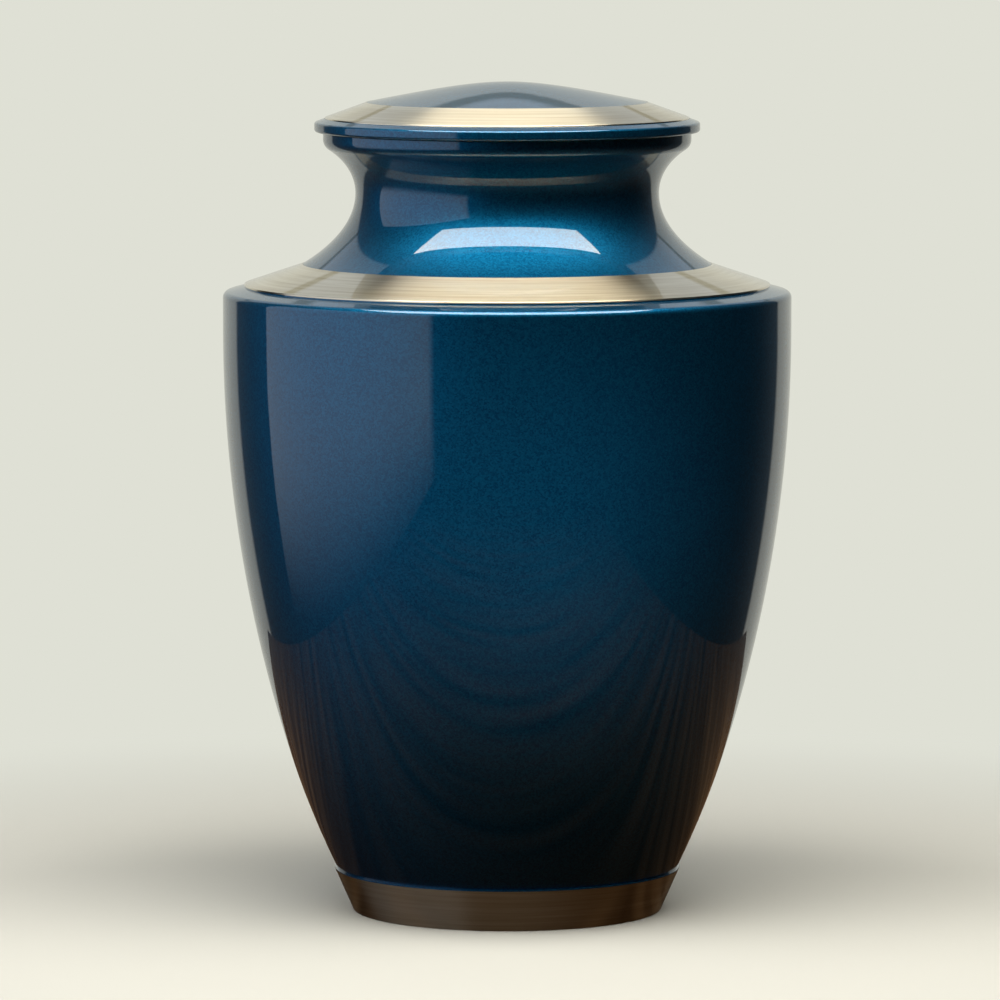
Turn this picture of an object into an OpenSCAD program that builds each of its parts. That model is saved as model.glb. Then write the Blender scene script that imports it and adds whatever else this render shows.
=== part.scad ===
// Funeral urn.
// A hollow painted brass vessel with a flared neck and a turned mouth collar, three
// brushed metal bands let into its outside, and a shallow domed lid that lifts off.
// Millimetres, +Z up. The origin is the centre of the foot's underside, on the table.
// Every piece is turned about Z, so each one is an outline of [radius, height] points.

/* [Foot band] */
// Diameter of the foot band where it stands
foot_d = 94.6; // [76:0.2:116]
// Diameter of the foot band at its top edge
foot_top_d = 106.1; // [88:0.1:128]
// Height of the foot band
foot_h = 12.9; // [10:0.1:18]
// Wall of the foot band
foot_wall = 1.8; // [1.2:0.1:3]

/* [Body] */
// Widest diameter of the body
body_d = 173.7; // [144:0.1:210]
// Height of the corner where the body's side meets the shoulder ledge
shoulder_z = 190.2; // [158:0.1:230]
// Depth of the widest point below that corner
belly_drop = 12.5; // [6:0.1:24]
// How far the side turns in at the foot, past its long arc
tuck = 1; // [0.5:0.1:4]
// Radius of the arc that turns the side in at the foot
tuck_r = 270; // [120:1:330]
// Wall thickness of the vessel
wall = 2.2; // [1.6:0.1:3.2]
// Thickness of the vessel's floor
floor_t = 3; // [2:0.1:5]
// Gap between the vessel's underside and the table
floor_lift = 1.5; // [0.5:0.1:4]
// Width of the painted lip above the foot band
lip_w = 0.6; // [0.3:0.05:1.2]
// Height of the painted lip above the foot band
lip_h = 0.5; // [0.3:0.05:1.2]

/* [Shoulder] */
// Rounding of the ledge's outer edge
ledge_round = 2; // [0.8:0.1:3]
// Rise of the ledge from the side's corner to the foot of the step
ledge_rise = 1.7; // [0.8:0.1:4]
// Height of the painted step that the shoulder band sits on
step_h = 0.35; // [0.2:0.05:1]
// Outer diameter of the shoulder band
band_d = 160.6; // [132:0.1:168]
// Diameter of the neck where the shoulder band meets it
neck_base_d = 124.8; // [108:0.1:128]
// Rise of the shoulder band from its outer edge to the neck
band_rise = 6; // [3:0.05:9]

/* [Neck and mouth] */
// Diameter of the neck's waist
waist_d = 92.7; // [84:0.1:104]
// Height of the waist above the shoulder band
flare_h = 21.7; // [16:0.1:30]
// Radial semi-axis of the ellipse that flares the neck into the shoulder
flare_sweep = 110; // [40:1:160]
// Height of the collar's lower edge above the waist
cove_h = 13.3; // [10:0.1:17]
// Radial semi-axis of the ellipse that spreads the neck to the collar
cove_sweep = 24.5; // [20:0.1:32]
// Vertical semi-axis of the same ellipse
cove_drop = 17.8; // [17.2:0.1:24]
// Diameter of the mouth collar
collar_d = 112.4; // [109:0.1:120]
// Height of the mouth collar
collar_h = 5.3; // [4:0.1:9]
// Radius of the collar's rounded lower edge
collar_round = 3.6; // [2.5:0.1:5]
// Diameter of the mouth's bore
mouth_d = 92; // [80:0.1:96]

/* [Lid] */
// Diameter of the lid's rim
lid_d = 117.7; // [114:0.1:126]
// Height of the rim at its outer edge
rim_h = 2.95; // [2:0.05:5]
// Rounding of the rim's outer edges
rim_round = 0.9; // [0.4:0.1:1.2]
// Rise of the rim's painted top, from its outer edge to the lid band
rim_rise = 1.15; // [0.6:0.05:2.5]
// Outer diameter of the lid band
lid_band_d = 111.2; // [98:0.1:113]
// How far the lid band's outer edge stands proud of the rim
lid_step = 0.35; // [0.1:0.05:0.45]
// Rise of the lid band from its outer edge to the dome
lid_band_rise = 4.6; // [2:0.05:7]
// Diameter of the dome
dome_d = 85.6; // [70:0.1:94]
// Rise of the dome above the lid band
dome_rise = 6.2; // [3:0.05:9]
// Slope that the dome runs towards at its edge, as a rise over a run
dome_slope = 0.22; // [0.215:0.005:0.4]
// Wall of the lid
lid_wall = 2.2; // [1.6:0.1:3.2]
// Length of the spigot that locates the lid in the mouth
spigot_h = 8; // [5:0.1:10]
// Wall of the spigot
spigot_wall = 2.4; // [1.6:0.1:3.2]

/* [Fits] */
// Thickness of the metal that the shoulder band and the lid band are turned from
band_t = 0.5; // [0.5:0.05:0.8]
// Joint left around each band for the cement that holds it
band_fit = 0.05; // [0.02:0.01:0.15]
// Radial clearance between the lid's spigot and the mouth
lid_fit = 0.25; // [0.1:0.05:0.5]

/* [Hidden] */
turn_fn = 240;
paint = [0.04, 0.20, 0.32];
brushed = [0.72, 0.68, 0.58];

foot_r = foot_d / 2;
foot_top_r = foot_top_d / 2;
belly_r = body_d / 2;
belly_z = shoulder_z - belly_drop;
band_r = band_d / 2;
neck_base_r = neck_base_d / 2;
waist_r = waist_d / 2;
collar_r = collar_d / 2;
mouth_r = mouth_d / 2;

ledge_top_z = shoulder_z + ledge_rise;
band_edge_z = ledge_top_z + step_h + band_t;
neck_base_z = band_edge_z + band_rise;
waist_z = neck_base_z + flare_h;
collar_z = waist_z + cove_h;
mouth_z = collar_z + collar_h;

lid_r = lid_d / 2;
lid_band_r = lid_band_d / 2;
dome_r = dome_d / 2;
rim_top_z = mouth_z + rim_h;
lid_band_z = rim_top_z + rim_rise + lid_step;
dome_z = lid_band_z + lid_band_rise;
spigot_r = mouth_r - lid_fit;

// Small edge breaks and inside fillets that a turner leaves
edge_break = 0.4;
inside_fillet = 3;

function unit(v) = v / norm(v);
function bearing(v) = atan2(v[1], v[0]);
function mix(from, to, t) = from + (to - from) * t;

// Points along an arc about a centre, from one bearing to another
function arc(centre, radius, from, to, steps) =
    [for (i = [0 : steps])
        let (a = mix(from, to, i / steps))
        centre + radius * [cos(a), sin(a)]];

// The arc that rounds the corner between a and b, tangent to both sides
function fillet(a, corner, b, radius, steps = 6) =
    let (u = unit(a - corner),
         v = unit(b - corner),
         half = acos(u * v) / 2,
         centre = corner + unit(u + v) * radius / sin(half),
         start = bearing(corner + u * radius / tan(half) - centre),
         turn = (180 - 2 * half) * sign(cross(v, u)))
    arc(centre, radius, start, start + turn, steps);

// The same line shifted sideways, to its left for a positive distance
function parallel(path, distance) =
    [for (i = [0 : len(path) - 1])
        let (along = unit(path[min(i + 1, len(path) - 1)] - path[max(i - 1, 0)]))
        path[i] + distance * [-along[1], along[0]]];

function reversed(path) = [for (i = [len(path) - 1 : -1 : 0]) path[i]];

// The body's side is a long arc, upright at the belly, and a shorter arc inside it
// that ends at the lip. The short arc's centre is found from its distances to both.
side_end = [foot_top_r - lip_w, foot_h + lip_h];
side_drop = belly_z - side_end[1];
side_inset = belly_r - side_end[0] - tuck;
side_r = (pow(side_drop, 2) + pow(side_inset, 2)) / (2 * side_inset);
side_centre = [belly_r - side_r, belly_z];
to_end = side_end - side_centre;
tuck_turn = acos((pow(side_r - tuck_r, 2) + pow(norm(to_end), 2) - pow(tuck_r, 2))
                 / (2 * (side_r - tuck_r) * norm(to_end)));
blend_angle = bearing(to_end) + tuck_turn;
tuck_centre = side_centre + (side_r - tuck_r) * [cos(blend_angle), sin(blend_angle)];
tuck_end = bearing(side_end - tuck_centre);

// The side from the lip to the belly, set in by a distance
function side(inset) =
    concat(arc(tuck_centre, tuck_r - inset, tuck_end, blend_angle, 12),
           arc(side_centre, side_r - inset, mix(blend_angle, 0, 1 / 28), 0, 27));

// The neck is two quarter ellipses that share the waist's upright tangent
function ellipse_out(sweep, drop, rise) = sweep * (1 - sqrt(1 - pow(rise / drop, 2)));
flare_drop = flare_h / sqrt(1 - pow(1 - (neck_base_r - waist_r) / flare_sweep, 2));
function neck_radius(z) =
    waist_r + (z < waist_z
        ? ellipse_out(flare_sweep, flare_drop, waist_z - z)
        : ellipse_out(cove_sweep, cove_drop, z - waist_z));
neck = concat([for (i = [0 : 23]) let (z = mix(neck_base_z, waist_z, i / 24)) [neck_radius(z), z]],
              [for (i = [0 : 20]) let (z = mix(waist_z, collar_z, i / 20)) [neck_radius(z), z]]);
neck_inside = [for (p = parallel(neck, wall)) if (p[1] < waist_z || p[0] < mouth_r) p];

// The dome is a cone with a softly rounded middle, a hyperbola in outline
dome_soft = (pow(dome_slope * dome_r, 2) - pow(dome_rise, 2)) / (2 * dome_rise);
function dome_height(r) =
    dome_z + dome_rise + dome_soft - sqrt(pow(dome_soft, 2) + pow(dome_slope * r, 2));

// Radius of the foot band's outside at a height, and the level width of a sloped wall
function foot_radius(z) = mix(foot_r, foot_top_r, z / foot_h);
foot_lean = atan((foot_top_r - foot_r) / foot_h);
function level_width(thickness) = thickness / cos(foot_lean);

// Height of the shoulder band's top and of the lid band's top at a radius
function band_height(r) = mix(band_edge_z, neck_base_z, (band_r - r) / (band_r - neck_base_r));
function lid_band_height(r) = mix(lid_band_z, dome_z, (lid_band_r - r) / (lid_band_r - dome_r));

// A ring cut from sheet: its sloped top, its edges and its parallel underside
function band_outline(outer, inner, outer_z, inner_z) =
    concat([[inner, inner_z - band_t], [outer, outer_z - band_t]],
           fillet([outer, outer_z - band_t], [outer, outer_z], [inner, inner_z], band_t / 2, 4),
           [[inner, inner_z]]);

module turned(outline) {
    rotate_extrude($fn = turn_fn) polygon(outline);
}

module urn_body() {
    foot_in = level_width(foot_wall) + band_fit;
    seat_drop = band_t + band_fit;
    ledge_corner = [belly_r, shoulder_z];
    step_foot = [band_r, ledge_top_z];
    collar_low = [neck_radius(collar_z), collar_z];
    collar_centre = [collar_r - collar_round,
                     collar_z + sqrt(pow(collar_round, 2)
                                     - pow(collar_low[0] - collar_r + collar_round, 2))];
    outside = concat(
        // underside, and the cone that the foot band sits around
        [[0, floor_lift],
         [foot_radius(floor_lift) - foot_in, floor_lift],
         [foot_radius(foot_h) - foot_in, foot_h]],
        // painted lip over the foot band
        [[foot_top_r, foot_h], [foot_top_r, foot_h + lip_h / 2]],
        side(0),
        fillet([belly_r, belly_z], ledge_corner, step_foot, ledge_round),
        // step, and the recess that the shoulder band lies in
        [step_foot,
         [band_r, band_height(band_r) - seat_drop],
         [neck_base_r, band_height(neck_base_r) - seat_drop]],
        neck,
        arc(collar_centre, collar_round, bearing(collar_low - collar_centre), 0, 8),
        fillet([collar_r, collar_z], [collar_r, mouth_z], [mouth_r, mouth_z], edge_break, 4));

    roof = wall / cos(atan(band_rise / (band_r - neck_base_r)));
    ledge_slope = ledge_rise / (belly_r - band_r);
    ledge_under = ledge_top_z - wall / cos(atan(ledge_slope));
    side_in = belly_r - wall;
    side_corner = [side_in, ledge_under - ledge_slope * (side_in - band_r)];
    foot_inside = foot_in + level_width(wall);
    floor_top = floor_lift + floor_t;
    floor_corner = [foot_radius(floor_top) - foot_inside, floor_top];
    bevel_foot = [foot_radius(foot_h) - foot_inside, foot_h];
    inside = concat(
        [[mouth_r, mouth_z], [mouth_r, neck_inside[len(neck_inside) - 1][1]]],
        reversed(neck_inside),
        [[neck_base_r, band_height(neck_base_r) - seat_drop - roof], [band_r, ledge_under]],
        fillet([band_r, ledge_under], side_corner, [side_in, belly_z], inside_fillet),
        reversed([for (p = side(wall)) if (p[1] > foot_h + 2 * wall) p]),
        fillet(bevel_foot, floor_corner, [0, floor_top], inside_fillet),
        [[0, floor_top]]);

    color(paint) turned(concat(outside, inside));
}

module foot_band() {
    inset = level_width(foot_wall);
    color(brushed)
        turned(concat(
            [[foot_r - inset, 0]],
            fillet([0, 0], [foot_r, 0], [foot_top_r, foot_h], edge_break, 4),
            [[foot_top_r, foot_h], [foot_top_r - inset, foot_h]]));
}

module shoulder_band() {
    color(brushed)
        turned(band_outline(band_r, neck_base_r + band_fit, band_edge_z, neck_base_z));
}

module lid() {
    seat_drop = band_t + band_fit;
    recess_r = lid_band_r + band_fit;
    rim_corner = [lid_r, rim_top_z];
    rim_inner = [recess_r, lid_band_z - lid_step];
    spigot_in = spigot_r - spigot_wall;
    spigot_z = mouth_z - spigot_h;
    dome_in_r = spigot_in - lid_wall;
    dome_steps = 16;
    outside = concat(
        [for (i = [0 : dome_steps]) let (r = dome_r * i / dome_steps) [r, dome_height(r)]],
        [[dome_r, lid_band_height(dome_r) - seat_drop],
         [recess_r, lid_band_height(recess_r) - seat_drop],
         rim_inner],
        fillet(rim_inner, rim_corner, [lid_r, mouth_z], rim_round),
        fillet([lid_r, rim_top_z], [lid_r, mouth_z], [spigot_r, mouth_z], rim_round));
    underside = concat(
        [[spigot_r, mouth_z]],
        fillet([spigot_r, mouth_z], [spigot_r, spigot_z], [spigot_in, spigot_z], edge_break, 4),
        [[spigot_in, spigot_z],
         [spigot_in, lid_band_height(spigot_in) - seat_drop - lid_wall]],
        [for (i = [dome_steps : -1 : 0])
            let (r = dome_in_r * i / dome_steps)
            [r, dome_height(r) - lid_wall]]);
    color(paint) turned(concat(outside, underside));
}

module lid_band() {
    color(brushed)
        turned(band_outline(lid_band_r, dome_r + band_fit, lid_band_z, dome_z));
}

urn_body();
foot_band();
shoulder_band();
lid();
lid_band();
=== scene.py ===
# %% [markdown]
# # The looks of a painted metal funeral urn
# A full-size urn is spun or cast in brass and then turned on a lathe, so every piece of it is round about
# one upright axis. The frame brings the exact pieces from the construction model. This lesson gives them
# smooth turned surfaces, a deep metallic paint under clear lacquer, and bands of brushed metal, and then
# sets up a quiet studio around the urn. Reading the frame first, and nothing else, keeps every size right.

# %% Load the frame
import math

import bpy
import numpy as np
from mathutils import Matrix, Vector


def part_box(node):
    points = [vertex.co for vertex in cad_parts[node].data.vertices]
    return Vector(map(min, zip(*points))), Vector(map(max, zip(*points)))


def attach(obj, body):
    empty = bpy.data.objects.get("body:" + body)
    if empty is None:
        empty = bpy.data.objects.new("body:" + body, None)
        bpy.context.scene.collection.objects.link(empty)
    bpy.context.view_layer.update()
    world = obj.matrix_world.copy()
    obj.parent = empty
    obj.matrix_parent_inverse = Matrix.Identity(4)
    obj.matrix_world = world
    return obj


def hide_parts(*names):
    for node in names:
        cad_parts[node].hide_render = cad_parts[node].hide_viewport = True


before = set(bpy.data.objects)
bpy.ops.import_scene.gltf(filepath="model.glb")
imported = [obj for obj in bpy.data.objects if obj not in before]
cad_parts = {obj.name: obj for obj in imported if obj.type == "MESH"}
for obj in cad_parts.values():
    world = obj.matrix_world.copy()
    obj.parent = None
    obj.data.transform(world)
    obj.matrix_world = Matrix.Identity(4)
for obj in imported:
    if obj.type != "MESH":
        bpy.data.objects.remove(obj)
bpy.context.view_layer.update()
scene = bpy.context.scene
MM = 0.001  # one millimetre in metres

# %% [markdown]
# ## Folding a turned mesh flat
# A turned piece is known by one line: its outline beside the axis. The frame's meshes are made of many
# small triangles whose corners lie on rings about the axis, so each corner is folded into the half plane
# (radius, height), and each triangle edge between two different rings is one step of the outline. The
# outline could also be typed in again from a drawing, but reading it from the frame keeps the surface true
# to the solid whatever its sizes are.

# %% Fold a mesh into rings
WELD = 8e-6  # m: ring corners nearer than this are one ring


def rings_of(mesh):
    """The rings of a turned mesh as rows of radius and height, and the pairs of rings that its edges join.

    The radius of a corner is the root of x squared plus y squared. Corners with the same radius and height
    are one ring, and rings closer than the weld distance count as the first of them.
    """
    corners = np.empty(3 * len(mesh.vertices))
    mesh.vertices.foreach_get("co", corners)
    x, y, z = corners.reshape(-1, 3).T
    folded = np.round(np.stack([np.hypot(x, y), z], axis=1), 6)
    rings, ring_of = np.unique(folded, axis=0, return_inverse=True)
    apart = np.linalg.norm(rings[:, None] - rings[None], axis=2)
    ring_of = (apart < WELD).argmax(axis=1)[ring_of.reshape(-1)]
    corner_of = np.empty(len(mesh.loops), dtype=int)
    mesh.loops.foreach_get("vertex_index", corner_of)
    triangles = ring_of[corner_of.reshape(-1, 3)]
    pairs = np.concatenate([triangles[:, [0, 1]], triangles[:, [1, 2]], triangles[:, [2, 0]]])
    return rings, np.unique(np.sort(pairs[pairs[:, 0] != pairs[:, 1]], axis=1), axis=0)


for name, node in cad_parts.items():
    print(f"{name}: {len(node.data.vertices)} corners fold into {len(rings_of(node.data)[1])} steps")

# %% [markdown]
# ## Walking along the outline
# The steps come in no order, so they are chained: from an open end, or from any ring of a closed section,
# the walk goes on to the neighbour that it hasn't just come from. A vessel and a lid start and end beside
# the axis, so their outlines are carried onto it. A band's outline closes on itself.

# %% Chain the rings into an outline
def outline_of(name):
    """The outline of a turned node as rows of radius and height, walked anticlockwise round its section.

    The turning sense is the sign of the sum of r times the next z minus z times the next r.
    """
    rings, pairs = rings_of(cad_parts[name].data)
    beside = {ring: [] for ring in np.unique(pairs)}
    for a, b in pairs:
        beside[a].append(b)
        beside[b].append(a)
    ends = [ring for ring, others in beside.items() if len(others) == 1]
    walk = [ends[0] if ends else next(iter(beside))]
    while True:
        onward = [ring for ring in beside[walk[-1]] if ring not in walk[-2:]]
        if not onward or onward[0] == walk[0]:
            break
        walk.append(onward[0])
    outline = rings[walk]
    if ends:
        on_axis = outline[[0, -1]] * [0, 1]
        outline = np.concatenate([on_axis[:1], outline[outline[:, 0] > WELD], on_axis[1:]])
    r, z = outline.T
    anticlockwise = np.dot(r, np.roll(z, -1)) > np.dot(z, np.roll(r, -1))
    return outline if anticlockwise else outline[::-1]


outlines = {name: outline_of(name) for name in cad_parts}
for name, outline in outlines.items():
    print(f"{name}: {len(outline)} outline points, radius up to {outline[:, 0].max() / MM:.2f} mm")

# %% [markdown]
# ## Smooth directions along the outline
# A mirror-bright surface shows every flat facet, so each ring needs the true direction of the curve that it
# lies on. On an arc, the tangent at a point lies between the two chords beside it, nearer to the shorter
# one. A long step beside short ones is a straight wall or the start of another curve, and keeps its own
# direction. A corner sharper than a limit stays a corner with two directions. The alternative is Blender's
# own averaging, which bends the shading of a wall where it meets a small rounding.

# %% Work out the shading normals of an outline
CORNER = math.radians(25)  # turns sharper than this are real corners
LENGTH_RATIO = 2.5  # steps that differ by more than this belong to different curves


def outline_normals(outline, closed):
    """Shading normals at the start and end of each outline step, as two arrays of radial and upright parts.

    With chord directions a1 and a2 and lengths L1 and L2 beside a point, the tangent of the arc through
    the three points is a1 plus the turn times L1 over (L1 + L2). At a corner, or where another curve starts,
    a chord's tangent is its own direction mirrored about it from its other end: twice a minus the other.
    The normal is the tangent turned a quarter clockwise.
    """
    following = np.roll(outline, -1, axis=0)
    steps = (following - outline) if closed else (following - outline)[:-1]
    length = np.hypot(*steps.T)
    heading = np.unwrap(np.arctan2(steps[:, 1], steps[:, 0]))
    turn_in = (heading - np.roll(heading, 1) + np.pi) % (2 * np.pi) - np.pi
    before = np.roll(length, 1)
    tangent = heading - turn_in * length / (length + before)
    smooth = np.abs(turn_in) < CORNER
    if not closed:
        smooth[0] = False
    # a point between steps of like length lies on an arc: both steps take the arc's tangent there
    even = smooth & (np.maximum(length, before) < LENGTH_RATIO * np.minimum(length, before))
    start = np.where(even, tangent, np.nan)
    arc_end = heading + (np.roll(tangent, -1) - heading + np.pi) % (2 * np.pi) - np.pi
    end = np.where(np.roll(even, -1), arc_end, np.nan)
    # elsewhere a step takes its own direction, or mirrors the tangent of its other end
    lone_start = np.where(np.isnan(end), heading, 2 * heading - end)
    lone_end = np.where(np.isnan(start), heading, 2 * heading - start)
    start, end = np.where(np.isnan(start), lone_start, start), np.where(np.isnan(end), lone_end, end)
    # where a long and a short step meet smoothly, the longer one gives the direction to the shorter one
    joined = smooth & ~even
    longer = joined & (length > before)
    own_start, last_end = start.copy(), np.roll(end, 1)
    start = np.where(joined & ~longer, last_end, start)
    end = np.where(np.roll(longer, -1), np.roll(own_start, -1), end)
    return [np.stack([np.sin(angle), -np.cos(angle)], axis=1) for angle in (start, end)]


for name, outline in outlines.items():
    start, end = outline_normals(outline, outline[0, 0] > WELD)
    print(f"{name}: {len(start)} steps, {(np.hypot(*(start[1:] - end[:-1]).T) > 0.1).sum()} sharp corners")

# %% [markdown]
# ## Turning an outline into a surface
# On a lathe, the tool follows the outline while the work turns. Here the outline is carried round the axis
# as whole arrays: one grid of points, ring by ring, where a ring on the axis is a single point. A Screw
# modifier could do the same, but worked out like this, the normals, the lengths along the surface and the
# seam stay in our hands.

# %% Number the corners of the turned grid
AROUND = 360  # steps round the axis: the flats are then 0.003 mm deep at the widest ring


def grid_of(outline, steps):
    """Points of the turned grid, and for each outline step and turn the four corners of its face.

    The point at turn j of a ring is (r cos a, r sin a, z), where a is j over the count times a full turn.
    A ring on the axis has one point, so a face that touches it drops its second or third corner.
    """
    turns = np.arange(AROUND)
    angle = turns * 2 * np.pi / AROUND
    r, z = outline[:, :1], outline[:, 1:]
    grid = np.stack([r * np.cos(angle), r * np.sin(angle), np.repeat(z, AROUND, axis=1)], axis=2)
    pole = outline[:, 0] < WELD
    points = grid[~pole[:, None] | (turns == 0)]
    first = np.concatenate([[0], np.cumsum(np.where(pole, 1, AROUND))[:-1]])
    number = first[:, None] + np.where(pole[:, None], 0, turns)
    lower, upper = number[:steps], np.roll(number, -1, axis=0)[:steps]
    faces = np.stack([lower, np.roll(lower, -1, 1), np.roll(upper, -1, 1), upper], axis=2)
    kept = np.ones(faces.shape, dtype=bool)
    kept[pole[:steps], :, 1] = False
    kept[np.roll(pole, -1)[:steps], :, 2] = False
    return points, faces, kept


points, faces, kept = grid_of(outlines["lid"], len(outlines["lid"]) - 1)
print(f"the lid's grid has {len(points)} points and {faces.shape[0] * faces.shape[1]} faces")

# %% [markdown]
# ## The mesh of a turned piece
# Each corner of a face carries its own shading normal and its own place on the surface. The normal is the
# outline's normal turned to the corner's angle, so corners stay crisp and arcs stay smooth. The UV map
# holds real lengths in metres, so that brushed lines and lathe marks can be drawn at their true spacing.

# %% Turn an outline into a mesh
def turned(name, outline, closed, bare=(0, 0)):
    """A closed mesh object turned from an outline.

    The UV map holds the way round the widest ring, which is the angle times the greatest radius, and the
    length along the outline. Outline steps from bare's first up to its last take the second material.
    """
    start, end = outline_normals(outline, closed)
    steps = len(start)
    points, faces, kept = grid_of(outline, steps)
    one_turn = 2 * np.pi / AROUND
    near = np.arange(AROUND) * one_turn
    angle = np.stack([near, near + one_turn, near + one_turn, near], axis=1)
    along = np.concatenate([[0], np.cumsum(np.hypot(*(np.roll(outline, -1, 0) - outline).T))])
    begun, done = along[:steps], along[1:steps + 1]
    length = np.stack([begun, begun, done, done], axis=1)[:, None]
    flat = np.stack([start, start, end, end], axis=1)[:, None]
    radial, upright, angle, length = np.broadcast_arrays(flat[..., 0], flat[..., 1], angle, length)
    normal = np.stack([radial * np.cos(angle), radial * np.sin(angle), upright], axis=3)
    uv = np.stack([angle * outline[:, 0].max(), length], axis=3)
    sizes = kept.sum(axis=2).reshape(-1)
    mesh = bpy.data.meshes.new(name)
    mesh.from_pydata(points.tolist(), [], np.split(faces[kept], np.cumsum(sizes)[:-1]))
    mesh.uv_layers.new(name="turned").data.foreach_set("uv", uv[kept].astype(np.float32).reshape(-1))
    mesh.polygons.foreach_set("use_smooth", np.ones(len(sizes), dtype=bool))
    step = np.repeat(np.arange(steps), AROUND)
    mesh.polygons.foreach_set("material_index", ((step >= bare[0]) & (step < bare[1])).astype(np.int32))
    mesh.update()
    mesh.normals_split_custom_set(normal[kept].tolist())
    piece = bpy.data.objects.new(name, mesh)
    scene.collection.objects.link(piece)
    print(f"{name}: {len(sizes)} faces, {(sizes - 2).sum()} triangles, {steps} outline steps")
    return piece


# %% [markdown]
# ## The pieces
# The painted vessel and the painted lid reach the axis. The three bright bands are thin rings beside it.
# Inside, and where the lid meets the mouth, the brass is bare, so those faces take a second material. Every
# face past the mouth's flat top along the walk, on the side away from the paint, counts as bare.

# %% Make the vessel, the lid and the bands
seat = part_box("urn_body")[1].z


def bare_steps(outline, painted_first):
    """First and last outline step of the bare brass: on one side of the seat's height along the walk."""
    at_seat = np.flatnonzero(np.abs(outline[:, 1] - seat) < WELD)
    return (at_seat[0], len(outline)) if painted_first else (0, at_seat[-1])


body = turned("vessel", outlines["urn_body"], False, bare_steps(outlines["urn_body"], True))
lid = turned("domed_lid", outlines["lid"], False, bare_steps(outlines["lid"], False))
bands = [turned(name.replace("_band", "_ring"), outlines[name], True)
         for name in ("foot_band", "shoulder_band", "lid_band")]

# %% [markdown]
# ## Helpers for materials
# Colours are picked as sRGB hex, as on a paint card, and one function turns them to the linear values that
# the renderer adds up. One small function adds a shader node with its settings and links.

# %% Colour and node helpers
def linear(code):
    """Linear colour of an sRGB hex code, as red, green, blue and alpha.

    A part c of the code is c over 12.92 up to 0.04045, and above it ((c + 0.055) over 1.055) to the 2.4.
    """
    parts = [int(code[i:i + 2], 16) / 255 for i in (1, 3, 5)]
    return tuple(c / 12.92 if c <= 0.04045 else ((c + 0.055) / 1.055) ** 2.4 for c in parts) + (1.0,)


def add_node(tree, kind, inputs=None, stops=(), **settings):
    """Adds one node with its settings, fills its inputs with values or links, and sets its colour stops."""
    made = tree.nodes.new(kind)
    for key, value in settings.items():
        setattr(made, key, value)
    for key, value in (inputs or {}).items():
        if isinstance(value, bpy.types.NodeSocket):
            tree.links.new(value, made.inputs[key])
        else:
            made.inputs[key].default_value = value
    for number, (position, code) in enumerate(stops):
        elements = made.color_ramp.elements
        element = elements[number] if number < len(elements) else elements.new(position)
        element.position, element.color = position, linear(code)
    return made


def new_material(name):
    """An empty node material: the material, its node tree and its output node."""
    made = bpy.data.materials.new(name)
    made.use_nodes = True
    made.node_tree.nodes.clear()
    return made, made.node_tree, add_node(made.node_tree, "ShaderNodeOutputMaterial")


print("mid grey in linear light:", round(linear("#808080")[0], 4))

# %% [markdown]
# ## Metallic paint under clear lacquer
# The urn is sprayed with a deep blue-green paint that carries fine metal flakes, and then with clear
# lacquer. The flakes give a soft glow that is bright where light falls on it and almost black elsewhere.
# The lacquer gives sharp reflections over that. So the shader is a tinted metal with a wide highlight, its
# normal roughened flake by flake, under a coat with its own gentle ripple, which spray paint always keeps.
# An image of flakes could do it too, but would repeat and needs a file.

# %% Colour of the flake paint
FLAKE = 0.45 * MM  # real flakes are about 0.05 mm; drawn this coarse, because finer ones don't show
MOTTLE = 18 * MM  # uneven spraying
RIPPLE = 7 * MM  # the ripple left in the lacquer
MOTTLE_SHARE = 0.3  # how much of the shade comes from the mottle, and the rest from single flakes

paint, tree, output = new_material("flake_enamel_under_lacquer")
place = add_node(tree, "ShaderNodeTexCoord")
flakes = add_node(tree, "ShaderNodeTexVoronoi", {"Vector": place.outputs["Object"], "Scale": 1 / FLAKE})
glint = add_node(tree, "ShaderNodeSeparateColor", {"Color": flakes.outputs["Color"]})
mottle = add_node(tree, "ShaderNodeTexNoise", {
    "Vector": place.outputs["Object"], "Scale": 1 / MOTTLE, "Detail": 3.0})
shade = add_node(tree, "ShaderNodeMix", {
    0: MOTTLE_SHARE, 2: glint.outputs["Red"], 3: mottle.outputs["Fac"]})
tint = add_node(tree, "ShaderNodeValToRGB", {"Fac": shade.outputs[0]},
                stops=((0.0, "#01385a"), (1.0, "#0c5a80")))
print("flake paint:", len(tree.nodes), "nodes for its colour")

# %% [markdown]
# ## The lacquer over the flakes
# Each flake tips the metal's normal a little, which breaks the highlight into glints. The lacquer has its
# own normal, because its surface levels out over the flakes and keeps only a long ripple. The small share
# that isn't metal is the blue binder between the flakes, which a lamp can light without showing itself.

# %% Shader of the flake paint
flake_bump = add_node(tree, "ShaderNodeBump", {
    "Height": glint.outputs["Green"], "Strength": 0.35, "Distance": 0.02 * MM})
ripple = add_node(tree, "ShaderNodeTexNoise", {
    "Vector": place.outputs["Object"], "Scale": 1 / RIPPLE, "Detail": 1.0})
peel = add_node(tree, "ShaderNodeBump", {
    "Height": ripple.outputs["Fac"], "Strength": 1.0, "Distance": 0.008 * MM})
shader = add_node(tree, "ShaderNodeBsdfPrincipled", {
    "Base Color": tint.outputs["Color"], "Metallic": 0.95, "Roughness": 0.47,
    "Specular IOR Level": 0.0,
    "Normal": flake_bump.outputs["Normal"], "Coat Normal": peel.outputs["Normal"],
    "Coat Weight": 1.0, "Coat Roughness": 0.006, "Coat IOR": 1.5})
tree.links.new(shader.outputs["BSDF"], output.inputs["Surface"])
print(paint.name, "done with", len(tree.nodes), "nodes")

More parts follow.
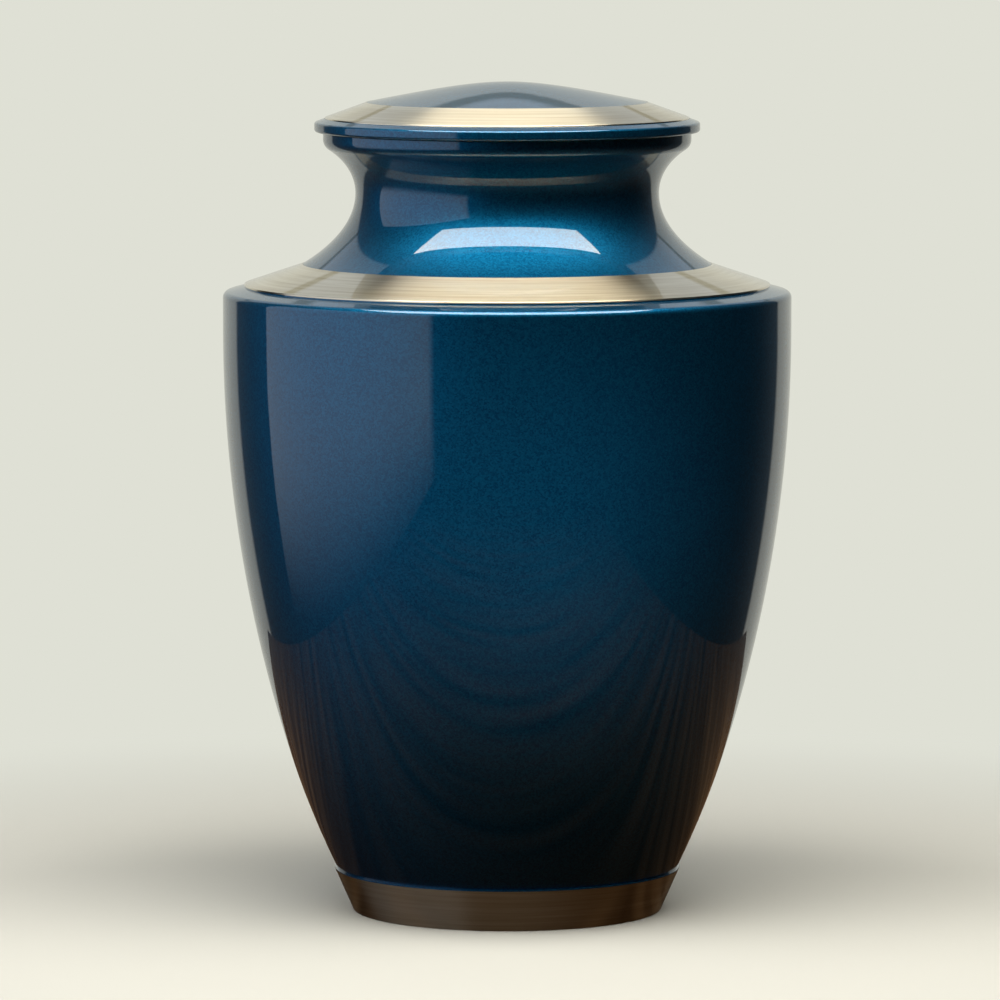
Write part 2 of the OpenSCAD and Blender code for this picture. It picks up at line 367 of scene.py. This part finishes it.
# %% [markdown]
# ## Brushed champagne nickel under lacquer
# The bands are plated in a warm nickel and brushed while the urn turns, so hair-fine lines run round them.
# Each line spreads light across itself and not along itself, which makes the band glow across its width.
# The pattern is noise squeezed hard along the outline and hardly at all round the axis, so it reads the UV
# map for the first and the object's x and y for the second, and has no seam.

# %% Pattern of the brushed lines
LINE = 0.28 * MM  # brushed lines, drawn about twice as coarse as real so that they show
STROKE = 22 * MM  # how far one line runs
BROAD_LINE, BROAD_STROKE = 5 * LINE, 2.5 * STROKE  # the uneven pressure of the brush
BROAD_SHARE = 0.6

nickel, tree, output = new_material("brushed_nickel_lacquered")
place = add_node(tree, "ShaderNodeTexCoord")
xyz = add_node(tree, "ShaderNodeSeparateXYZ", {"Vector": place.outputs["Object"]})
uv = add_node(tree, "ShaderNodeSeparateXYZ", {"Vector": place.outputs["UV"]})
stretched = add_node(tree, "ShaderNodeCombineXYZ", {
    "X": xyz.outputs["X"], "Y": xyz.outputs["Y"], "Z": uv.outputs["Y"]})
fine = add_node(tree, "ShaderNodeMapping", {
    "Vector": stretched.outputs[0], "Scale": (1 / STROKE, 1 / STROKE, 1 / LINE)})
lines = add_node(tree, "ShaderNodeTexNoise", {
    "Vector": fine.outputs[0], "Scale": 1.0, "Detail": 3.0, "Roughness": 0.6})
broad = add_node(tree, "ShaderNodeMapping", {
    "Vector": stretched.outputs[0], "Scale": (1 / BROAD_STROKE, 1 / BROAD_STROKE, 1 / BROAD_LINE)})
broad_lines = add_node(tree, "ShaderNodeTexNoise", {
    "Vector": broad.outputs[0], "Scale": 1.0, "Detail": 2.0})
both = add_node(tree, "ShaderNodeMath", {
    0: lines.outputs["Fac"], 1: BROAD_SHARE, 2: broad_lines.outputs["Fac"]}, operation="MULTIPLY_ADD")
print("brushed lines every", LINE / MM, "mm, each about", STROKE / MM, "mm long")

# %% [markdown]
# ## Light on the brushed lines
# The lines are far finer than their drawing, so most of their effect is in the shader: an anisotropic
# highlight that follows the lines round the axis. The drawn pattern varies the tint, the roughness and a
# very shallow bump. The thin lacquer over it adds a weak mirror image of the room.

# %% Shader of the brushed nickel
tint = add_node(tree, "ShaderNodeValToRGB", {"Fac": both.outputs[0]},
                stops=((0.45, "#c7b490"), (1.15, "#ebe0c8")))
rough = add_node(tree, "ShaderNodeMapRange", {
    "Value": both.outputs[0], "From Min": 0.4, "From Max": 1.2, "To Min": 0.36, "To Max": 0.30})
scratch = add_node(tree, "ShaderNodeBump", {
    "Height": both.outputs[0], "Strength": 0.3, "Distance": 0.006 * MM})
around = add_node(tree, "ShaderNodeTangent", direction_type="RADIAL", axis="Z")
shader = add_node(tree, "ShaderNodeBsdfPrincipled", {
    "Base Color": tint.outputs["Color"], "Metallic": 1.0, "Roughness": rough.outputs[0],
    "Anisotropic": 0.92, "Anisotropic Rotation": 0.25, "Tangent": around.outputs[0],
    "Normal": scratch.outputs["Normal"], "Coat Weight": 1.0, "Coat Roughness": 0.01, "Coat IOR": 1.5})
tree.links.new(shader.outputs["BSDF"], output.inputs["Surface"])
print(nickel.name, "done with", len(tree.nodes), "nodes")

# %% [markdown]
# ## Bare brass inside
# Nobody lacquers the inside of an urn. The brass there is dull yellow with the marks of the lathe running
# round it and faint brown patches. It shows only when the lid is lifted off.

# %% Bare brass
GROOVE = 0.6 * MM  # feed of the lathe tool per turn
PATCH = 15 * MM  # brown patches where the brass was handled

brass, tree, output = new_material("bare_turned_brass")
place = add_node(tree, "ShaderNodeTexCoord")
uv = add_node(tree, "ShaderNodeSeparateXYZ", {"Vector": place.outputs["UV"]})
grooves = add_node(tree, "ShaderNodeTexNoise", {
    "W": uv.outputs["Y"], "Scale": 1 / GROOVE, "Detail": 3.0}, noise_dimensions="1D")
patches = add_node(tree, "ShaderNodeTexNoise", {
    "Vector": place.outputs["Object"], "Scale": 1 / PATCH, "Detail": 4.0})
tint = add_node(tree, "ShaderNodeValToRGB", {"Fac": patches.outputs["Fac"]},
                stops=((0.35, "#8f6f35"), (0.65, "#c9a557")))
marks = add_node(tree, "ShaderNodeBump", {
    "Height": grooves.outputs["Fac"], "Strength": 0.6, "Distance": 0.03 * MM})
shader = add_node(tree, "ShaderNodeBsdfPrincipled", {
    "Base Color": tint.outputs["Color"], "Metallic": 1.0, "Roughness": 0.38,
    "Normal": marks.outputs["Normal"]})
tree.links.new(shader.outputs["BSDF"], output.inputs["Surface"])
print(brass.name, "done with", len(tree.nodes), "nodes")

# %% [markdown]
# ## Dressing the pieces
# Each turned piece stands for one solid of the frame and takes its finish. All of them ride on the one
# body, because nothing on an urn is hinged: the lid is simply lifted off.

# %% Dress the pieces
for piece, node, slot, finishes in (
        (body, "urn_body", "blue_paint", (paint, brass)),
        (lid, "lid", "blue_paint", (paint, brass)),
        (bands[0], "foot_band", "brushed_band", (nickel,)),
        (bands[1], "shoulder_band", "brushed_band", (nickel,)),
        (bands[2], "lid_band", "brushed_band", (nickel,))):
    for finish in finishes:
        piece.data.materials.append(finish)
    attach(piece, "root")
    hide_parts(node)
    print(piece.name, "stands for", node)

# %% [markdown]
# ## Floor and background
# The urn stands on a plain pale floor. Close to the urn it is a matt surface that takes its shadow, and
# further out it fades into the colour of the background, as a studio's paper sweep does. The glossy paint
# looks deep only over a dark table, so this floor is kept out of the reflections and throws no light back
# at the urn.

# %% Floor
BACKGROUND = linear("#dfe0d5")
SWEEP_START, SWEEP_END = 0.16, 0.42  # m from the axis
FLOOR_REACH = 6.0  # m


def sheet(name, corners, material):
    """One flat face with the given corners, linked into the scene."""
    mesh = bpy.data.meshes.new(name)
    mesh.from_pydata(corners, [], [range(len(corners))])
    mesh.materials.append(material)
    made = bpy.data.objects.new(name, mesh)
    scene.collection.objects.link(made)
    print(name, "has", len(corners), "corners")
    return made


sweep, tree, output = new_material("pale_paper_sweep")
place = add_node(tree, "ShaderNodeTexCoord")
away = add_node(tree, "ShaderNodeVectorMath", {0: place.outputs["Object"]}, operation="LENGTH")
fade = add_node(tree, "ShaderNodeMapRange", {
    "Value": away.outputs["Value"], "From Min": SWEEP_START, "From Max": SWEEP_END},
    interpolation_type="SMOOTHSTEP")
matt = add_node(tree, "ShaderNodeBsdfDiffuse", {"Color": linear("#afafab")})
glow = add_node(tree, "ShaderNodeEmission", {"Color": BACKGROUND, "Strength": 1.0})
mixed = add_node(tree, "ShaderNodeMixShader", {0: fade.outputs[0], 1: matt.outputs[0], 2: glow.outputs[0]})
tree.links.new(mixed.outputs[0], output.inputs["Surface"])
floor = sheet("floor", [(-FLOOR_REACH, -FLOOR_REACH, 0), (FLOOR_REACH, -FLOOR_REACH, 0),
                        (FLOOR_REACH, FLOOR_REACH, 0), (-FLOOR_REACH, FLOOR_REACH, 0)], sweep)
floor.visible_glossy = False
floor.visible_diffuse = False

# %% [markdown]
# ## A dark table for the gloss
# What makes lacquer look deep is what it mirrors: here a narrow table of dark stained boards, whose grain
# bends into arcs across the belly and whose brown fills the foot band. Only reflections see it. It lies
# where the floor is and is not lit: it glows with painted light, a painted pool that has a painted shadow
# under the urn and fades out further off so that its front edge draws no line. A world colour for the
# downward directions would be simpler, but could not tell the foot from the shoulder.

# %% Dark table
TABLE_BACK, TABLE_SIDE, TABLE_FRONT = 0.28, 0.28, 1.2  # m from the axis to the table's edges
BOARD_GRAIN = (250 * MM, 12 * MM)  # length and width of a streak in the wood

table_painted_light, tree, output = new_material("dark_boards_painted_light")
place = add_node(tree, "ShaderNodeTexCoord")
along_grain = add_node(tree, "ShaderNodeMapping", {
    "Vector": place.outputs["Object"], "Scale": (1 / BOARD_GRAIN[0], 1 / BOARD_GRAIN[1], 1.0)})
grain = add_node(tree, "ShaderNodeTexNoise", {"Vector": along_grain.outputs[0], "Scale": 1.0, "Detail": 3.0})
tint = add_node(tree, "ShaderNodeValToRGB", {"Fac": grain.outputs["Fac"]},
                stops=((0.35, "#382413"), (0.7, "#6e543a")))
away = add_node(tree, "ShaderNodeVectorMath", {0: place.outputs["Object"]}, operation="LENGTH")
# painted shadow: the table's glow is dimmest under the urn and brightest about 0.22 m out, a painted pool of
# light
shadow = add_node(tree, "ShaderNodeMapRange", {
    "Value": away.outputs["Value"], "From Min": 0.04, "From Max": 0.22, "To Min": 0.35, "To Max": 1.4},
    interpolation_type="SMOOTHSTEP")
# the painted pool of light fades out further off, so that the table's front edge draws no line
painted_pool_falloff = add_node(tree, "ShaderNodeMapRange", {
    "Value": away.outputs["Value"], "From Min": 0.18, "From Max": 0.55, "To Min": 1.0, "To Max": 0.12},
    interpolation_type="SMOOTHSTEP")
shade = add_node(tree, "ShaderNodeMath", {0: shadow.outputs[0], 1: painted_pool_falloff.outputs[0]},
                 operation="MULTIPLY")
# the table is no lamp and no lamp lights it: it glows with this painted light and painted shadow
glow = add_node(tree, "ShaderNodeEmission", {"Color": tint.outputs["Color"], "Strength": shade.outputs[0]})
tree.links.new(glow.outputs[0], output.inputs["Surface"])
table = sheet("dark_table_top", [(-TABLE_SIDE, -TABLE_FRONT, 0), (TABLE_SIDE, -TABLE_FRONT, 0),
                                 (TABLE_SIDE, TABLE_BACK, 0), (-TABLE_SIDE, TABLE_BACK, 0)], table_painted_light)
for ray_kind in ("camera", "diffuse", "transmission", "shadow"):
    setattr(table, "visible_" + ray_kind, False)

# %% [markdown]
# ## The overhead soft box
# The main light is a large soft box above the urn. Its mirror image on the flare of the neck is the
# brightest thing on the paint, and its glow in the flakes shapes the neck and shoulder. A rectangular box
# would show there as a bow tie, because the neck bends it, so this one is cut as a fan between two arcs,
# and the neck straightens that into a clean, tapered bar. Area lights have no such outline, so it is a
# glowing sheet.

# %% Overhead soft box
NECK = 0.22  # m, height of the flare that the lamps above are set out from
FAN_SCALE, FAN_RISE = 0.75, 0.75  # size of the fan, and its height in m above the neck
FRONT_RADIUS, BACK_RADIUS, BACK_CENTRE = 0.98, 0.64, 0.51
ARC_POINTS = 13

front_angle = np.radians(np.linspace(-58, 62, ARC_POINTS))
back_angle = np.radians(np.linspace(-66, 66, ARC_POINTS))
front_arc = FRONT_RADIUS * np.stack([np.sin(front_angle), -np.cos(front_angle)], axis=1)
back_arc = BACK_RADIUS * np.stack([np.sin(back_angle), -np.cos(back_angle)], axis=1) + [0, BACK_CENTRE]
fan = FAN_SCALE * np.concatenate([front_arc, back_arc[::-1]])
cloth, tree, output = new_material("lit_white_cloth")
glow = add_node(tree, "ShaderNodeEmission", {"Color": linear("#fffaee"), "Strength": 11.0})
tree.links.new(glow.outputs[0], output.inputs["Surface"])
overhead = sheet("overhead_box", [(x, y, NECK + FAN_RISE) for x, y in fan[::-1]], cloth)
overhead.visible_camera = False

# %% [markdown]
# ## Panels with soft edges
# The other lamps are flat panels of cloth. Cloth on a frame is brighter in the middle than at its edges,
# and one edge may be soft where the light feathers out, so each panel's face fades towards its edges by
# nodes. A plain area light has razor-sharp edges in a lacquered surface, which look like paper cut-outs.

# %% A panel with fading edges
def soft_box(name, corners, strength, colour="#ffffff", fades=(0.02, 0.02, 0.02, 0.02), slant=0.0):
    """A rectangular area light set out by the middles of its lower and upper edge and its half width.

    Its power is the brightness times pi times its area, so its face has that brightness from anywhere.
    The face fades out towards its left, right, lower and upper edge over the given shares of its width
    and height: smoothstep of the distance from the edge over the share. With a slant, the lower edge
    rises by that share of the height from the left edge to the right one.
    """
    lower, upper, half_width = (np.array(corner, dtype=float) for corner in corners)
    height = upper - lower
    light = bpy.data.lights.new(name, "AREA")
    light.shape = "RECTANGLE"
    light.size = 2 * np.linalg.norm(half_width)
    light.size_y = np.linalg.norm(height)
    light.energy = strength * math.pi * light.size * light.size_y
    light.color = linear(colour)[:3]
    light.use_nodes = True
    tree = light.node_tree
    tree.nodes.clear()
    output = add_node(tree, "ShaderNodeOutputLight")
    face = add_node(tree, "ShaderNodeNewGeometry")
    place = add_node(tree, "ShaderNodeSeparateXYZ", {"Vector": face.outputs["Parametric"]})
    along, up = place.outputs["X"], place.outputs["Y"]
    above = add_node(tree, "ShaderNodeMath", {0: along, 1: -slant, 2: up}, operation="MULTIPLY_ADD")
    level = 1.0
    for way, start, stop in ((along, 0.0, fades[0]), (along, 1.0, 1.0 - fades[1]),
                             (above.outputs[0], 0.0, fades[2]), (up, 1.0, 1.0 - fades[3])):
        edge = add_node(tree, "ShaderNodeMapRange", {"Value": way, "From Min": start, "From Max": stop},
                        interpolation_type="SMOOTHSTEP")
        faded = add_node(tree, "ShaderNodeMath", {0: level, 1: edge.outputs[0]}, operation="MULTIPLY")
        level = faded.outputs[0]
    emission = add_node(tree, "ShaderNodeEmission", {"Strength": level})
    tree.links.new(emission.outputs[0], output.inputs[0])
    lamp = bpy.data.objects.new(name, light)
    across, upward = half_width / np.linalg.norm(half_width), height / np.linalg.norm(height)
    stand = np.eye(4)
    stand[:3, 0], stand[:3, 1], stand[:3, 2] = across, upward, np.cross(across, upward)
    stand[:3, 3] = (lower + upper) / 2
    lamp.matrix_world = Matrix(stand.tolist())
    lamp.visible_camera = False
    scene.collection.objects.link(lamp)
    print(f"{name}: {light.size:.2f} by {light.size_y:.2f} m, {light.energy:.2f} W")
    return lamp


# %% [markdown]
# ## Side, rear and front lamps
# A tall dim panel on the left draws a long pale reflection down the belly that feathers out at its lower
# edge. A warm lamp above and behind lights the tops of the bands. A spot through a snoot, from the front,
# lights only the binder of the paint, and gives the belly the deep blue pool that fades to black at its
# sides.

# %% Lamps
# for each: the middles of its lower and upper edge and half of its width in m, and its brightness
soft_box("left_panel", [(-1.13, -0.41, -0.45), (-1.13, -0.41, 1.12), (0.37, -1.01, 0)], 1.05, "#e6eefa",
         (0.015, 0.06, 0.24, 0.02), 0.05)
soft_box("rear_lamp", [(0, 1.2, NECK + 0.90), (0, 0.50, NECK + 1.30), (0.22, 0, 0)], 2.6, "#fff3dc",
         (0.15, 0.15, 0.1, 0.2))
spot = soft_box("snooted_spot", [(0.01, -1.5, 0.105), (0.01, -1.5, 0.145), (0.02, 0, 0)], 28.0)
spot.data.spread = math.radians(5.6)  # the beam is then about 140 mm across at the urn
spot.visible_glossy = False

# %% [markdown]
# ## The room
# Surfaces seen at a grazing angle mirror the pale wall behind the urn, and the rest of the room is dark,
# which makes the paint look deep. The wall is far away, so it is part of the world and depends only on
# direction: one column of colours, from straight down to straight up, for the wall behind, and another for
# everything else, with a narrow blend between them. The camera itself sees only the plain background.

# %% World
# the wall starts where the y part of the level direction passes from the first to the second
WALL_EDGE = (0.77, 0.81)
# rise of the direction, from -1 straight down to 1 straight up, and the colour seen there
ROOM = ((-1.0, "#3a2a1c"), (-0.6, "#4c3a2a"), (-0.35, "#2c2520"), (-0.1, "#17181a"), (1.0, "#24282c"))
WALL = ((-1.0, "#3a2a1c"), (-0.55, "#4c3a2a"), (-0.50, "#c8c8bd"), (0.365, "#d2d3c8"), (0.375, "#8f8a70"),
        (0.40, "#8f8a70"), (0.41, "#d0d6d8"), (0.8, "#b8c0c2"), (0.9, "#3a3e42"), (1.0, "#24282c"))

world = bpy.data.worlds.new("studio")
world.use_nodes = True
scene.world = world
tree = world.node_tree
tree.nodes.clear()
output = add_node(tree, "ShaderNodeOutputWorld")
place = add_node(tree, "ShaderNodeTexCoord")
way = add_node(tree, "ShaderNodeSeparateXYZ", {"Vector": place.outputs["Generated"]})
level_way = add_node(tree, "ShaderNodeVectorMath", {0: place.outputs["Generated"], 1: (1.0, 1.0, 0.0)},
                     operation="MULTIPLY")
unit_way = add_node(tree, "ShaderNodeVectorMath", {0: level_way.outputs[0]}, operation="NORMALIZE")
bearing = add_node(tree, "ShaderNodeSeparateXYZ", {"Vector": unit_way.outputs[0]})
behind = add_node(tree, "ShaderNodeMapRange", {
    "Value": bearing.outputs["Y"], "From Min": WALL_EDGE[0], "From Max": WALL_EDGE[1]},
    interpolation_type="SMOOTHSTEP")
rise = add_node(tree, "ShaderNodeMapRange", {"Value": way.outputs["Z"], "From Min": -1.0, "From Max": 1.0})
front, back = (add_node(tree, "ShaderNodeValToRGB", {"Fac": rise.outputs[0]},
                        stops=[((place_up + 1) / 2, code) for place_up, code in column])
               for column in (ROOM, WALL))
seen = add_node(tree, "ShaderNodeMix", {
    0: behind.outputs[0], 6: front.outputs["Color"], 7: back.outputs["Color"]}, data_type="RGBA")
ray = add_node(tree, "ShaderNodeLightPath")
shown = add_node(tree, "ShaderNodeMix", {
    0: ray.outputs["Is Camera Ray"], 6: seen.outputs[2], 7: BACKGROUND}, data_type="RGBA")
light = add_node(tree, "ShaderNodeBackground", {"Color": shown.outputs[2], "Strength": 1.0})
tree.links.new(light.outputs[0], output.inputs["Surface"])
print("world made of", len(tree.nodes), "nodes")

# %% [markdown]
# ## Camera
# A long lens from a little above, over two metres away, keeps the urn's sides almost parallel.

# %% Camera
CAMERA_PLACE = (-0.00219, -2.2585, 0.3522)  # m
LOOK_DOWN = 5.716  # degrees below level
LENS, SENSOR = 266.6, 36.0  # mm

camera_data = bpy.data.cameras.new("camera")
camera_data.lens = LENS
camera_data.sensor_width = SENSOR
camera = bpy.data.objects.new("camera", camera_data)
camera.location = CAMERA_PLACE
camera.rotation_euler = (math.radians(90 - LOOK_DOWN), 0, 0)
scene.collection.objects.link(camera)
scene.camera = camera
scene.view_settings.view_transform = "Standard"
print("camera looks down by", LOOK_DOWN, "degrees")
